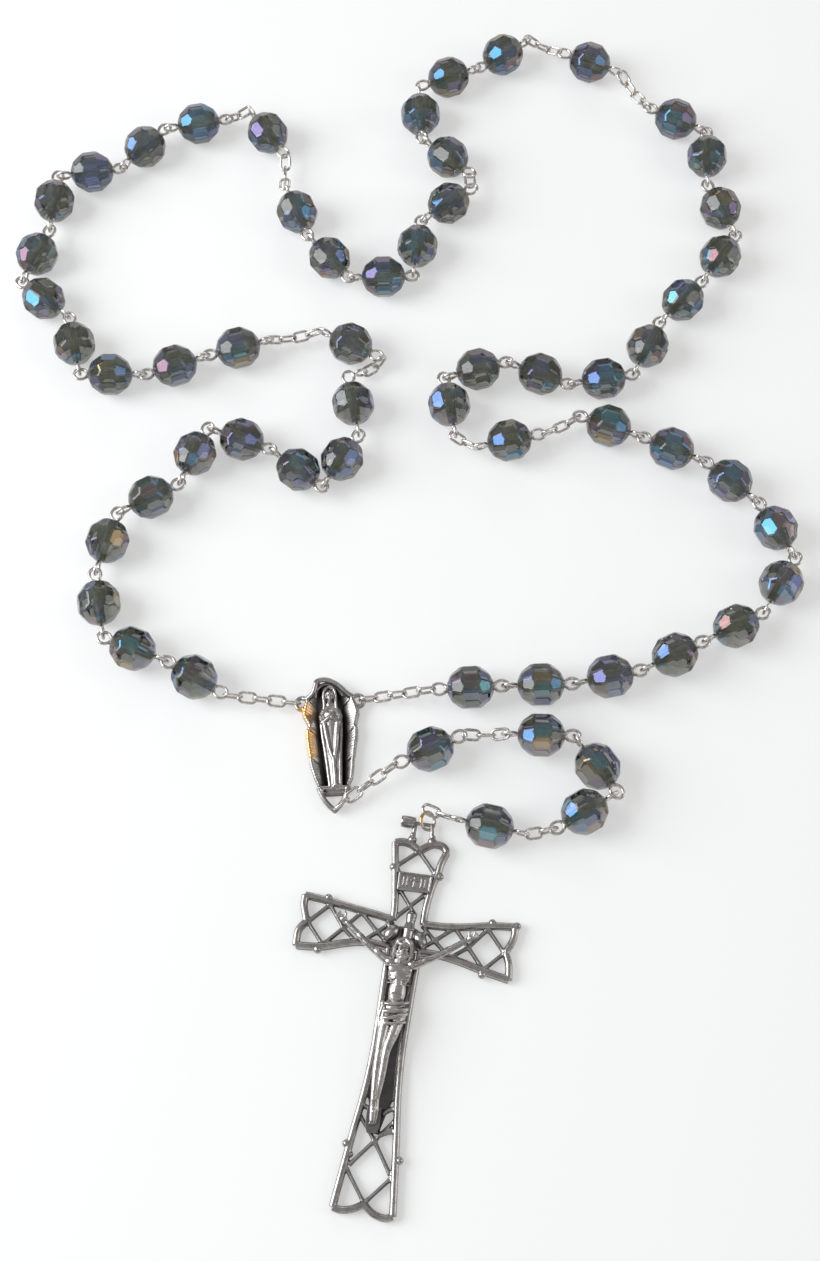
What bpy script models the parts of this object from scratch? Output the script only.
"""A rosary lying flat: faceted glass beads on eye pins, chained into a loop and a pendant.

Metres, +Z up, resting on z = 0. +Y runs from the crucifix to the far end of the loop.
Each bead is one piece with its own eye pin, and the links of a short chain are joined to the
Our Father bead (or the bead beside the medal) that they lead to.
"""

import math

import bmesh
import bpy
import numpy as np
from mathutils import Matrix, Vector

MM = 0.001
WELD = 0.001 * MM

# Beads and eye pins
BEAD_LENGTH = 7.6 * MM
BEAD_RADIUS = 3.5 * MM
BEAD_BELT = 2.6 * MM
BEAD_END_RADIUS = 0.95 * MM
BEAD_SIDES = 8
BEAD_AXIS_HEIGHT = BEAD_RADIUS * math.cos(math.pi / BEAD_SIDES)
WIRE_RADIUS = 0.28 * MM
EYE_RADIUS = 0.92 * MM
EYE_HALF_LENGTH = 1.08 * MM
EYE_STEPS = 6
NECK = 0.08 * MM
HALF_PIN = 0.5 * BEAD_LENGTH + NECK + EYE_HALF_LENGTH
BEAD_REACH = HALF_PIN + EYE_HALF_LENGTH
BEAD_CLEAR = 7.5 * MM

# Chain links
LINK_HALF_LENGTH = 1.3 * MM
LINK_HALF_WIDTH = 0.85 * MM
LINK_BITE = 0.28 * MM
LINK_PITCH = 2 * LINK_HALF_LENGTH - LINK_BITE
CHAIN_TAUTNESS = 0.97

# Medal
MEDAL_PLACE = (-12.3, -19.5)
MEDAL_TURN = math.radians(3.4)
MEDAL_THICKNESS = 1.5 * MM
MEDAL_RELIEF = 1.3 * MM
MEDAL_HEAD = 1.2 * MM
LUG_HEIGHT = 1.2 * MM
LUG_SIDE = (4.9, 7.0)
LUG_FOOT = (0.0, -10.44)
LUG_RADIUS = 1.0 * MM

# Crucifix
CROSS_PLACE = (-0.8, -50.9)
CROSS_TURN = math.radians(-8.9)
CROSS_THICKNESS = 1.6 * MM
RAIL_WIDTH = 0.95
BAR_WIDTH = 0.6
KNOB_RADIUS = 0.78 * MM
ARM_MIDDLE = 1.1
TOP_END = 15.7
SIDE_END = 16.4
FOOT_END = -39.2
KNOB_TOP = 11.5
KNOB_SIDE = 12.3
KNOB_HEIGHT = 0.55 * CROSS_THICKNESS
BAIL_HEIGHT = 1.25 * MM
BAIL_BAR = 18.7
BAIL_LEGS = (-1.35, 1.6)
BAIL_FOOT = 15.9
BAIL_BAR_RADIUS = 0.34 * MM
BAIL_TUBE_RADIUS = 0.95 * MM
BAIL_TUBE_END = -3.4
JUMP_RADIUS = 1.4 * MM
JUMP_STEPS = 8
JUMP_HEIGHT = 1.7 * MM
JUMP_OFFSET = 0.6
JUMP_CLEARANCE = 0.25 * MM
CORPUS_GAP = 0.3 * MM
CORPUS_DEPTH = 1.7 * MM
HEAD_RADIUS = 1.25 * MM
ARM_RADIUS = 0.65 * MM

# How the rosary is laid: where each bead lies, in millimetres, one row for each decade
LAY_CENTRE = (-2.23, 12.25)
DECADE_1 = [(-35, -9), (-44, -4), (-50, 3.5), (-49.5, 14), (-43, 22.5), (-35, 30), (-27.5, 32.5),
            (-19, 27.5), (-11.5, 29.5), (-10, 39)]
OUR_FATHER_1 = (-9.5, 51)
DECADE_2 = [(-29.5, 50), (-40, 46.5), (-50.5, 45), (-57.5, 50.5), (-62.5, 60), (-65.5, 68.5),
            (-62, 78.5), (-56, 86.5), (-47.5, 90), (-38.5, 95)]
OUR_FATHER_2 = (-25, 94.5)
DECADE_3_START = [(-20.5, 77), (-13.5, 67), (-4.5, 63.5), (1.5, 70), (6.5, 79.2)]
DECADE_3_END = [(16, 110.5), (7, 105), (3, 98), (6.2, 87.4)]
OUR_FATHER_3 = (33, 108.5)
DECADE_4 = [(6.5, 39.5), (12, 45.5), (22, 45), (32.5, 44.5), (40.5, 50.5), (47, 59), (53.5, 68),
            (54.5, 78), (53, 88), (47.5, 96.5)]
OUR_FATHER_4 = (16.5, 32.5)
DECADE_5 = [(10, -10.3), (22, -10.5), (33, -9.5), (43, -5), (53, 0), (60.5, 7), (60, 16.5),
            (53, 25.5), (43.5, 31), (33, 35.5)]
PENDANT = [(4, -19.5), (21.5, -18.5), (29.5, -23.5), (27.5, -31), (13.5, -34)]

# Where the last eyes of the two sides point, one each side of the open pivot
OPEN_EYE_LEFT = (10.9, 81.8)
OPEN_EYE_RIGHT = (10.6, 85.0)

SETTLE_STEPS = 4000
SETTLE_PULL = 0.25


# ---------------------------------------------------------------- scene and materials

def clear_scene():
    for item in list(bpy.data.objects):
        bpy.data.objects.remove(item, do_unlink=True)


def make_collection(name):
    collection = bpy.data.collections.new(name)
    bpy.context.scene.collection.children.link(collection)
    return collection


def make_material(name, colour, roughness, metallic):
    material = bpy.data.materials.new(name)
    material.use_nodes = True
    shader = material.node_tree.nodes["Principled BSDF"]
    shader.inputs["Base Color"].default_value = (*colour, 1.0)
    shader.inputs["Roughness"].default_value = roughness
    shader.inputs["Metallic"].default_value = metallic
    return material


# ---------------------------------------------------------------- solids

def mesh_from_bmesh(form, name):
    bmesh.ops.recalc_face_normals(form, faces=form.faces)
    mesh = bpy.data.meshes.new(name)
    form.to_mesh(mesh)
    form.free()
    return mesh


def add_object(mesh, name, collection, place=(0, 0, 0), turn=0.0):
    item = bpy.data.objects.new(name, mesh)
    item.location = place
    item.rotation_euler = (0, 0, turn)
    collection.objects.link(item)
    return item


def frame_matrix(origin, along, up):
    """A frame at origin whose X is along, with Z as near to up as it can be."""
    x = Vector(along).normalized()
    y = Vector(up).cross(x).normalized()
    z = x.cross(y)
    turn = Matrix((x, y, z)).transposed().to_4x4()
    return Matrix.Translation(Vector(origin)) @ turn


def closed_curve(dimensions, outlines, tilt=0.0):
    """A curve of closed straight-sided splines."""
    curve = bpy.data.curves.new("outline", "CURVE")
    curve.dimensions = dimensions
    for outline in outlines:
        spline = curve.splines.new("POLY")
        spline.points.add(len(outline) - 1)
        for point, place in zip(spline.points, outline):
            point.co = (*place, 1)
            point.tilt = tilt
        spline.use_cyclic_u = True
    return curve


def mesh_of_curve(curve, name, matrix):
    """The solid that a curve's bevel or extrusion makes, placed by matrix."""
    item = bpy.data.objects.new(name, curve)
    bpy.context.scene.collection.objects.link(item)
    bpy.context.view_layer.update()
    graph = bpy.context.evaluated_depsgraph_get()
    mesh = bpy.data.meshes.new_from_object(item.evaluated_get(graph))
    bpy.data.objects.remove(item)
    form = bmesh.new()
    form.from_mesh(mesh)
    bmesh.ops.remove_doubles(form, verts=form.verts, dist=WELD)
    form.transform(matrix)
    return mesh_from_bmesh(form, name)


def tube_ring(half_length, half_width, steps, matrix):
    """A closed loop of square wire in its frame's XY plane: a circle, or an oval if longer."""
    places = []
    for step in range(steps):
        angle = 2 * math.pi * step / steps
        side = math.copysign(half_length - half_width, math.cos(angle))
        places.append((side + half_width * math.cos(angle), half_width * math.sin(angle), 0))
    curve = closed_curve("3D", [places], tilt=math.pi / 4)
    curve.bevel_depth = WIRE_RADIUS
    curve.bevel_resolution = 0
    return mesh_of_curve(curve, "loop", matrix)


def bead_mesh(matrix):
    """An eight-sided barrel with a belt and two tapered ends, its bore along X."""
    form = bmesh.new()
    stations = [(-0.5 * BEAD_LENGTH, BEAD_END_RADIUS), (-0.5 * BEAD_BELT, BEAD_RADIUS),
                (0.5 * BEAD_BELT, BEAD_RADIUS), (0.5 * BEAD_LENGTH, BEAD_END_RADIUS)]
    for (near, near_radius), (far, far_radius) in zip(stations, stations[1:]):
        place = matrix @ Matrix.Translation((0.5 * (near + far), 0, 0))
        place = place @ Matrix.Rotation(math.pi / 2, 4, "Y")
        place = place @ Matrix.Rotation(math.pi / BEAD_SIDES, 4, "Z")
        bmesh.ops.create_cone(form, cap_ends=False, segments=BEAD_SIDES, radius1=near_radius,
                              radius2=far_radius, depth=far - near, matrix=place)
    bmesh.ops.remove_doubles(form, verts=form.verts, dist=WELD)
    rims = [edge for edge in form.edges if edge.is_boundary]
    bmesh.ops.holes_fill(form, edges=rims, sides=BEAD_SIDES)
    return mesh_from_bmesh(form, "bead")


def cylinder_mesh(start, end, radius, sides):
    form = bmesh.new()
    axis = Vector(end) - Vector(start)
    turn = axis.to_track_quat("Z", "Y").to_matrix().to_4x4()
    place = Matrix.Translation((Vector(start) + Vector(end)) / 2) @ turn
    bmesh.ops.create_cone(form, cap_ends=True, segments=sides, radius1=radius, radius2=radius,
                          depth=axis.length, matrix=place)
    return mesh_from_bmesh(form, "rod")


def ball_mesh(centre, radius, rings=4, sides=6, squash=(1, 1, 1)):
    form = bmesh.new()
    bmesh.ops.create_uvsphere(form, u_segments=sides, v_segments=rings, radius=radius)
    bmesh.ops.scale(form, vec=squash, verts=form.verts)
    bmesh.ops.translate(form, vec=centre, verts=form.verts)
    return mesh_from_bmesh(form, "ball")


def plate_mesh(outlines, bottom, top):
    """A flat plate from closed outlines in millimetres, the later ones being holes."""
    curve = closed_curve("2D", [[(x * MM, y * MM, 0) for x, y in outline] for outline in outlines])
    curve.fill_mode = "BOTH"
    curve.extrude = 0.5 * (top - bottom)
    return mesh_of_curve(curve, "plate", Matrix.Translation((0, 0, 0.5 * (top + bottom))))


def painted(mesh, material):
    mesh.materials.clear()
    mesh.materials.append(material)
    return mesh


def united(meshes, name):
    """One closed body from meshes that overlap one another."""
    items = [bpy.data.objects.new(name, mesh) for mesh in meshes]
    for item in items:
        bpy.context.scene.collection.objects.link(item)
    for item in items[1:]:
        union = items[0].modifiers.new("join", "BOOLEAN")
        union.operation = "UNION"
        union.solver = "EXACT"
        union.object = item
    bpy.context.view_layer.update()
    graph = bpy.context.evaluated_depsgraph_get()
    joined = bpy.data.meshes.new_from_object(items[0].evaluated_get(graph))
    for item in items:
        bpy.data.objects.remove(item)
    joined.name = name
    return joined


# ---------------------------------------------------------------- the lay

def placed(point, place, turn):
    """A point of a turned plate, given in its own millimetres, as metres in the plan."""
    x = place[0] - LAY_CENTRE[0] + point[0] * math.cos(turn) - point[1] * math.sin(turn)
    y = place[1] - LAY_CENTRE[1] + point[0] * math.sin(turn) + point[1] * math.cos(turn)
    return np.array((x, y)) * MM


def bead_target(point):
    return (np.array(point) - np.array(LAY_CENTRE)) * MM


def chain_chord(links, rise):
    """Plan length of a chain of links that also rises by rise, hanging a little slack."""
    tautness = 1.0 if rise else CHAIN_TAUTNESS
    return math.sqrt((tautness * links * LINK_PITCH) ** 2 - rise ** 2)


class Piece:
    """One rigid length of the strand: an optional chain, one or more beads, an optional chain."""

    def __init__(self, name, targets, lead=0, tail=0, rise=0.0):
        self.name = name
        self.targets = [bead_target(target) for target in targets]
        self.lead = lead
        self.tail = tail
        self.rise = rise
        self.points = []

    def spans(self):
        """Plan lengths from vertex to vertex, each with the bead target it should centre on."""
        result = []
        if self.lead:
            result.append((chain_chord(self.lead, self.rise), None, 0.0))
        last = len(self.targets) - 1
        for number, target in enumerate(self.targets):
            length = 2 * BEAD_REACH - EYE_RADIUS
            if number < last or self.tail:
                length = 2 * BEAD_REACH - LINK_BITE
            result.append((length, target, BEAD_REACH / length))
        if self.tail:
            length = chain_chord(self.tail, 0.0) - (EYE_RADIUS - LINK_BITE)
            result.append((length, None, 0.0))
        return result


def spread(points, spans):
    """Push apart any two beads that lie closer than their size allows."""
    held = [number for number, (_, target, _) in enumerate(spans) if target is not None]
    near = np.array([points[number] for number in held])
    far = np.array([points[number + 1] for number in held])
    share = np.array([spans[number][2] for number in held])[:, None]
    centres = near + share * (far - near)
    apart = centres[:, None] - centres[None]
    distance = np.linalg.norm(apart, axis=2) + 10 * BEAD_CLEAR * np.eye(len(held))
    lack = np.clip(BEAD_CLEAR - distance, 0, None)
    shift = 0.5 * (lack[..., None] * apart / distance[..., None]).sum(axis=1)
    for number, push in zip(held, shift):
        points[number] += push
        points[number + 1] += push


def settle(pieces, start, end=None):
    """Lay the strand's rigid lengths from start, each bead as near to its place as they allow."""
    spans = [span for piece in pieces for span in piece.spans()]
    aims = [target for _, target, _ in spans]
    points = [np.array(start)]
    for number, (_, target, _) in enumerate(spans):
        ahead = next((aim for aim in aims[number + 1:] if aim is not None), end)
        here = target if target is not None else points[-1]
        if ahead is None:
            points.append(2 * here - points[-1])
        else:
            points.append(0.5 * (here + ahead))
    for first, middle, last in zip(points, points[1:], points[2:]):
        middle += 0.3 * (middle - 0.5 * (first + last))
    if end is not None:
        points[-1] = np.array(end)
    for step in range(SETTLE_STEPS):
        pull = SETTLE_PULL * (1 - step / SETTLE_STEPS)
        for number, (length, target, share) in enumerate(spans):
            near, far = points[number], points[number + 1]
            if target is not None:
                shift = pull * (target - (near + share * (far - near)))
                near += shift
                far += shift
            stretch = far - near
            size = np.linalg.norm(stretch)
            correction = 0.5 * (size - length) / size * stretch
            near += correction
            far -= correction
        spread(points, spans)
        points[0][:] = start
        if end is not None:
            points[-1][:] = end
    laid = [np.array(start)]
    for number, (length, _, _) in enumerate(spans):
        heading = points[number + 1] - laid[-1]
        laid.append(laid[-1] + length * heading / np.linalg.norm(heading))
    cursor = 0
    for piece in pieces:
        count = len(piece.spans())
        piece.points = [Vector((*point, 0)) for point in laid[cursor:cursor + count + 1]]
        cursor += count


def hanging_points(start, end, links):
    """Where each link starts, on an even arc from start down and up again to end."""
    chord = end - start
    low, high = 0.0, math.pi / links
    for _ in range(60):
        turn = 0.5 * (low + high)
        reach = LINK_PITCH * math.sin(0.5 * links * turn) / math.sin(0.5 * turn)
        low, high = (turn, high) if reach > chord.length else (low, turn)
    heading = chord.normalized()
    side = heading.cross(Vector((0, 0, 1))).normalized()
    points = [start.copy()]
    for number in range(links):
        angle = turn * (number - 0.5 * (links - 1))
        step = Matrix.Rotation(angle, 3, side) @ heading
        points.append(points[-1] + LINK_PITCH * step)
    return points


# ---------------------------------------------------------------- strand pieces

def eye_at(centre, along, upright):
    up = Vector((0, 0, 1))
    across = up.cross(along)
    matrix = frame_matrix(centre, along, across if upright else up)
    return tube_ring(EYE_HALF_LENGTH, EYE_RADIUS, EYE_STEPS, matrix)


def chain_meshes(points, first_upright):
    """Links along points, turned a quarter turn from one to the next."""
    meshes = []
    for number, (near, far) in enumerate(zip(points, points[1:])):
        along = (far - near).normalized()
        across = Vector((0, 0, 1)).cross(along).normalized()
        upright = (number % 2 == 0) == first_upright
        centre = near + LINK_HALF_LENGTH * along
        matrix = frame_matrix(centre, along, across if upright else along.cross(across))
        meshes.append(tube_ring(LINK_HALF_LENGTH, LINK_HALF_WIDTH, EYE_STEPS, matrix))
    return meshes


def lifted(point, height):
    return Vector((point.x, point.y, height))


def strand_meshes(piece):
    """Every overlapping solid of one strand piece, in the plan's own coordinates."""
    meshes = []
    points = list(piece.points)
    upright = True
    if piece.lead:
        near = lifted(points[0], BEAD_AXIS_HEIGHT - piece.rise)
        far = lifted(points[1], BEAD_AXIS_HEIGHT)
        meshes += chain_meshes(hanging_points(near, far, piece.lead), True)
        upright = piece.lead % 2 == 0
        points.pop(0)
    for number in range(len(piece.targets)):
        along = (points[1] - points[0]).normalized()
        middle = lifted(points[0], BEAD_AXIS_HEIGHT) + BEAD_REACH * along
        meshes.append(bead_mesh(frame_matrix(middle, along, (0, 0, 1))))
        meshes.append(eye_at(middle - HALF_PIN * along, along, upright))
        if piece.tail:
            upright = piece.tail % 2 == 0
        else:
            upright = number < len(piece.targets) - 1 and not upright
        meshes.append(eye_at(middle + HALF_PIN * along, along, upright))
        upright = not upright
        points.pop(0)
    if piece.tail:
        near = lifted(points[0], BEAD_AXIS_HEIGHT)
        along = (points[1] - points[0]).normalized()
        far = lifted(points[1], BEAD_AXIS_HEIGHT) + (EYE_RADIUS - LINK_BITE) * along
        meshes += chain_meshes(hanging_points(near, far, piece.tail), piece.tail % 2 == 0)
    return meshes


def hinge_of(piece):
    """The hinge that joins a piece to the one before: a point, and its level axis."""
    along = (piece.points[1] - piece.points[0]).normalized()
    reach = LINK_HALF_WIDTH if piece.lead else EYE_RADIUS
    point = lifted(piece.points[0], BEAD_AXIS_HEIGHT - piece.rise) + reach * along
    return point, Vector((-along.y, along.x, 0))


def plain_bead_mesh():
    """The shape that every bead without a chain shares: origin on its hinge, bore along X."""
    middle = Vector((BEAD_REACH - EYE_RADIUS, 0, 0))
    along = Vector((1, 0, 0))
    parts = [bead_mesh(Matrix.Translation(middle)), eye_at(middle - HALF_PIN * along, along, True),
             eye_at(middle + HALF_PIN * along, along, False)]
    return united(parts, "bead_on_pin")


def build_strand(pieces, shared, extras, glass, collection):
    """Every piece of the strand, with any solid that extras adds to it, origin on its hinge."""
    for piece in pieces:
        hinge, _ = hinge_of(piece)
        if piece.lead or piece.tail or len(piece.targets) > 1:
            meshes = strand_meshes(piece) + extras.get(piece.name, [])
            for mesh in meshes:
                mesh.transform(Matrix.Translation(-hinge))
            mesh = painted(united(meshes, piece.name), glass)
            add_object(mesh, piece.name, collection, hinge)
        else:
            along = piece.points[1] - piece.points[0]
            turn = math.atan2(along.y, along.x)
            add_object(shared, piece.name, collection, hinge, turn)


def numbered(prefix, count, first=1):
    return [f"{prefix}_{number:02d}" for number in range(first, first + count)]


def left_strand():
    rise = BEAD_AXIS_HEIGHT - LUG_HEIGHT
    names = numbered("hail_mary_1", 10)
    pieces = [Piece(names[0], DECADE_1[:1], lead=5, rise=rise)]
    pieces += [Piece(name, [place]) for name, place in zip(names[1:], DECADE_1[1:])]
    pieces.append(Piece("our_father_1", [OUR_FATHER_1], lead=3, tail=4))
    pieces += [Piece(*pair) for pair in zip(numbered("hail_mary_2", 10), [[p] for p in DECADE_2])]
    pieces.append(Piece("our_father_2", [OUR_FATHER_2], lead=2, tail=3))
    third = zip(numbered("hail_mary_3", 5), [[p] for p in DECADE_3_START])
    return pieces + [Piece(*pair) for pair in third]


def right_strand():
    """From the medal's other lug back to the sixth bead of the third decade."""
    rise = BEAD_AXIS_HEIGHT - LUG_HEIGHT
    names = numbered("hail_mary_5", 10)[::-1]
    pieces = [Piece(names[0], DECADE_5[:1], lead=5, rise=rise)]
    pieces += [Piece(name, [place]) for name, place in zip(names[1:], DECADE_5[1:])]
    pieces.append(Piece("our_father_4", [OUR_FATHER_4], lead=3, tail=2))
    fourth = numbered("hail_mary_4", 10)[::-1]
    pieces += [Piece(name, [place]) for name, place in zip(fourth, DECADE_4)]
    pieces.append(Piece("our_father_3", [OUR_FATHER_3], lead=4, tail=3))
    far = DECADE_3_END
    pieces.append(Piece("hail_mary_3_09", far[:1]))
    pieces.append(Piece("hail_mary_3_07_08", far[1:3]))
    pieces.append(Piece("hail_mary_3_06", far[3:]))
    return pieces


def pendant_strand():
    rise = BEAD_AXIS_HEIGHT - LUG_HEIGHT
    pieces = [Piece("pendant_our_father_upper", PENDANT[:1], lead=5, tail=3, rise=rise)]
    names = numbered("pendant_hail_mary", 3)
    pieces += [Piece(name, [place]) for name, place in zip(names, PENDANT[1:4])]
    pieces.append(Piece("pendant_our_father_lower", PENDANT[4:], lead=2, tail=2))
    return pieces


# ---------------------------------------------------------------- medal

def mirrored(half):
    """A closed outline from its right half, listed from top to bottom."""
    return half + [(-x, y) for x, y in reversed(half) if abs(x) > 1e-6]


def build_medal(silver, collection):
    half = [(0, 10.6), (1.5, 10.4), (3.0, 8.9), (4.2, 7.9), (4.0, 5.6), (4.6, 3.4), (4.0, 0.6),
            (4.3, -1.6), (3.5, -4.8), (2.4, -7.4), (0.5, -9.4), (0, -9.5)]
    gown = [(0.9, 8.0), (0.7, 6.5), (1.7, 5.1), (1.5, 0.0), (1.2, -6.8)]
    top = MEDAL_THICKNESS + MEDAL_RELIEF
    parts = [plate_mesh([mirrored(half)], 0.0, MEDAL_THICKNESS),
             plate_mesh([mirrored(gown)], 0.5 * MEDAL_THICKNESS, top),
             ball_mesh((0, 8.6 * MM, MEDAL_THICKNESS), MEDAL_HEAD, squash=(1, 1.15, 1))]
    for x, y in (LUG_SIDE, (-LUG_SIDE[0], LUG_SIDE[1]), LUG_FOOT):
        place = Matrix.Translation((x * MM, y * MM, LUG_HEIGHT))
        parts.append(tube_ring(LUG_RADIUS, LUG_RADIUS, EYE_STEPS, place))
    mesh = painted(united(parts, "centrepiece"), silver)
    place = placed((0, 0), MEDAL_PLACE, MEDAL_TURN)
    add_object(mesh, "centrepiece", collection, (*place, 0), MEDAL_TURN)


# ---------------------------------------------------------------- crucifix

def inset(polygon, distance):
    """A convex polygon, listed counter-clockwise, drawn in by distance on every side."""
    lines = []
    for start, end in zip(polygon, polygon[1:] + polygon[:1]):
        along = np.array(end) - np.array(start)
        normal = np.array((-along[1], along[0])) / np.linalg.norm(along)
        lines.append((normal, normal @ np.array(start) + distance))
    corners = []
    for first, second in zip(lines[-1:] + lines[:-1], lines):
        matrix = np.array((first[0], second[0]))
        corners.append(tuple(np.linalg.solve(matrix, (first[1], second[1]))))
    return corners


def turned(points, quarter, middle):
    """Points of an arm that runs along +X, turned by quarter turns about the crossing."""
    result = []
    for x, y in points:
        for _ in range(quarter):
            x, y = -y, x
        result.append((x, y + middle))
    return result


def arm_windows(notch, knots, end, root_half, end_half, quarter):
    """The gaps of one arm's lattice. knots are its rail and centre crossings, tip first."""
    def rail(at):
        return root_half + (end_half - root_half) * max(0.0, at / end) ** 1.6 - 0.5 * RAIL_WIDTH

    crossings = [notch] + knots[1::2]
    rails = knots[0::2]
    windows = []
    for tip, on_rail, inner in zip(crossings, rails, crossings[1:]):
        diamond = [(tip, 0), (on_rail, rail(on_rail)), (inner, 0), (on_rail, -rail(on_rail))]
        windows.append(inset(diamond, 0.5 * BAR_WIDTH))
    for outer, inner, apex in zip(rails, rails[1:], crossings[1:]):
        windows.append(inset([(outer, rail(outer)), (inner, rail(inner)), (apex, 0)], 0.5 * BAR_WIDTH))
    corner = [(notch, 0), (end - 0.5 * RAIL_WIDTH, rail(end)), (rails[0], rail(rails[0]))]
    windows.append(inset(corner, 0.5 * BAR_WIDTH))
    sided = [window for window in windows if all(y > 0 for _, y in window)]
    windows += [[(x, -y) for x, y in reversed(window)] for window in sided]
    return [turned(window, quarter, ARM_MIDDLE) for window in windows]


def cross_outline():
    half = [(0, 14.7), (1.4, 15.6), (4.1, TOP_END), (3.2, KNOB_TOP), (2.5, 7.0), (2.4, 3.5),
            (9.0, 4.1), (SIDE_END, 5.3), (15.1, ARM_MIDDLE), (SIDE_END, -3.1), (9.0, -1.9),
            (2.4, -1.3), (2.3, -14.0), (2.7, -24.0), (3.7, -32.0), (4.6, FOOT_END),
            (2.0, -38.6), (0, -37.8)]
    return mirrored(half)


def cross_windows():
    windows = arm_windows(14.2, [11.2, 8.0, 5.6], 15.3, 2.4, 4.1, 0)
    windows += arm_windows(14.2, [11.2, 8.0, 5.6], 15.3, 2.4, 4.1, 2)
    windows += arm_windows(13.2, [10.3], 14.4, 2.4, 4.0, 1)
    windows += arm_windows(38.2, [34.3, 30.2, 26.6], 40.0, 2.1, 4.6, 3)
    under_title = [(0, 4.6), (1.3, 6.9), (-1.3, 6.9)]
    over_title = [(0, 13.7), (-1.9, 11.6), (1.9, 11.6)]
    return windows + [under_title, over_title]


def knob_places():
    side = KNOB_SIDE
    return [(3.4, KNOB_TOP), (-3.4, KNOB_TOP), (side, 4.9), (-side, 4.9),
            (side, -2.7), (-side, -2.7), (4.1, -31.0), (-4.1, -31.0)]


def local(x, y, z):
    return (x * MM, y * MM, z)


def build_cross(silver, collection):
    """The frame with its title plate, ball knobs and bail, origin on the bail's bar."""
    parts = [plate_mesh([cross_outline()] + cross_windows(), 0.0, CROSS_THICKNESS)]
    title = [(-2.5, 8.0), (2.5, 8.0), (2.5, 10.9), (-2.5, 10.9)]
    parts.append(plate_mesh([title], 0.4 * CROSS_THICKNESS, CROSS_THICKNESS + 0.4 * MM))
    for x, y in knob_places():
        parts.append(ball_mesh(local(x, y, KNOB_HEIGHT), KNOB_RADIUS))
    for x in BAIL_LEGS:
        foot = local(x, BAIL_FOOT, KNOB_HEIGHT)
        parts.append(ball_mesh(foot, KNOB_RADIUS))
        parts.append(cylinder_mesh(foot, local(x, BAIL_BAR, BAIL_HEIGHT), BAIL_BAR_RADIUS, 6))
    rods = [(BAIL_LEGS[0] - 0.4, BAIL_LEGS[1] + 0.2, BAIL_BAR_RADIUS),
            (BAIL_TUBE_END, BAIL_LEGS[0] - 0.1, BAIL_TUBE_RADIUS)]
    for left, right, radius in rods:
        ends = (local(left, BAIL_BAR, BAIL_HEIGHT), local(right, BAIL_BAR, BAIL_HEIGHT))
        parts.append(cylinder_mesh(*ends, radius, 8))
    mesh = painted(united(parts, "crucifix_frame"), silver)
    mesh.transform(Matrix.Translation((0, -BAIL_BAR * MM, 0)))
    place = placed((0, BAIL_BAR), CROSS_PLACE, CROSS_TURN)
    return add_object(mesh, "crucifix_frame", collection, (*place, 0), CROSS_TURN)


def build_corpus(silver, frame, collection):
    """The figure, held just clear of the frame's front, as plain as its collision needs."""
    low = CROSS_THICKNESS + CORPUS_GAP
    body = mirrored([(0.8, -2.0), (2.3, -3.6), (1.6, -8.5), (2.0, -11.4), (1.3, -19.0),
                     (0.9, -25.6), (0.7, -28.0)])
    parts = [plate_mesh([body], low, low + CORPUS_DEPTH)]
    head = local(0, -0.9, low + HEAD_RADIUS)
    parts.append(ball_mesh(head, HEAD_RADIUS, squash=(1, 1.25, 0.95)))
    for side in (-1, 1):
        shoulder = local(1.2 * side, -3.2, low + 0.9 * MM)
        hand = local(10.0 * side, 2.2, low + 0.7 * MM)
        parts.append(cylinder_mesh(shoulder, hand, ARM_RADIUS, 6))
        parts.append(ball_mesh(hand, 1.06 * ARM_RADIUS, squash=(1.3, 1.3, 1)))
    mesh = painted(united(parts, "corpus"), silver)
    mesh.transform(Matrix.Translation((0, -BAIL_BAR * MM, 0)))
    item = add_object(mesh, "corpus", collection)
    item.parent = frame
    return item


def jump_ring_place():
    """The jump ring's centre, and the near point where the last link takes hold of it."""
    down = Vector((math.sin(CROSS_TURN), -math.cos(CROSS_TURN), 0))
    bar = Vector((*placed((JUMP_OFFSET, BAIL_BAR), CROSS_PLACE, CROSS_TURN), 0))
    clearance = WIRE_RADIUS + BAIL_BAR_RADIUS + JUMP_CLEARANCE
    centre = lifted(bar - (JUMP_RADIUS - clearance) * down, JUMP_HEIGHT)
    return centre, down


def jump_ring_mesh():
    centre, down = jump_ring_place()
    matrix = frame_matrix(centre, down, Vector((0, 0, 1)).cross(down))
    return tube_ring(JUMP_RADIUS, JUMP_RADIUS, JUMP_STEPS, matrix)


# ---------------------------------------------------------------- assembly

def lay_strands():
    """The three strands, laid: left of the medal, right of it, and the pendant."""
    left, right, pendant = left_strand(), right_strand(), pendant_strand()
    left_lug = placed((-LUG_SIDE[0], LUG_SIDE[1]), MEDAL_PLACE, MEDAL_TURN)
    right_lug = placed(LUG_SIDE, MEDAL_PLACE, MEDAL_TURN)
    settle(left, left_lug, bead_target(OPEN_EYE_LEFT))
    settle(right, right_lug, bead_target(OPEN_EYE_RIGHT))
    centre, down = jump_ring_place()
    take = centre - JUMP_RADIUS * down
    settle(pendant, placed(LUG_FOOT, MEDAL_PLACE, MEDAL_TURN), (take.x, take.y))
    return left, right, pendant


def main():
    clear_scene()
    collection = make_collection("rosary")
    glass = make_material("smoky_glass", (0.11, 0.11, 0.09), 0.08, 0.0)
    silver = make_material("aged_silver", (0.62, 0.59, 0.55), 0.28, 1.0)
    shared = painted(plain_bead_mesh(), glass)
    left, right, pendant = lay_strands()
    extras = {pendant[-1].name: [jump_ring_mesh()]}
    build_strand(left + right + pendant, shared, extras, glass, collection)
    build_medal(silver, collection)
    frame = build_cross(silver, collection)
    build_corpus(silver, frame, collection)


main()
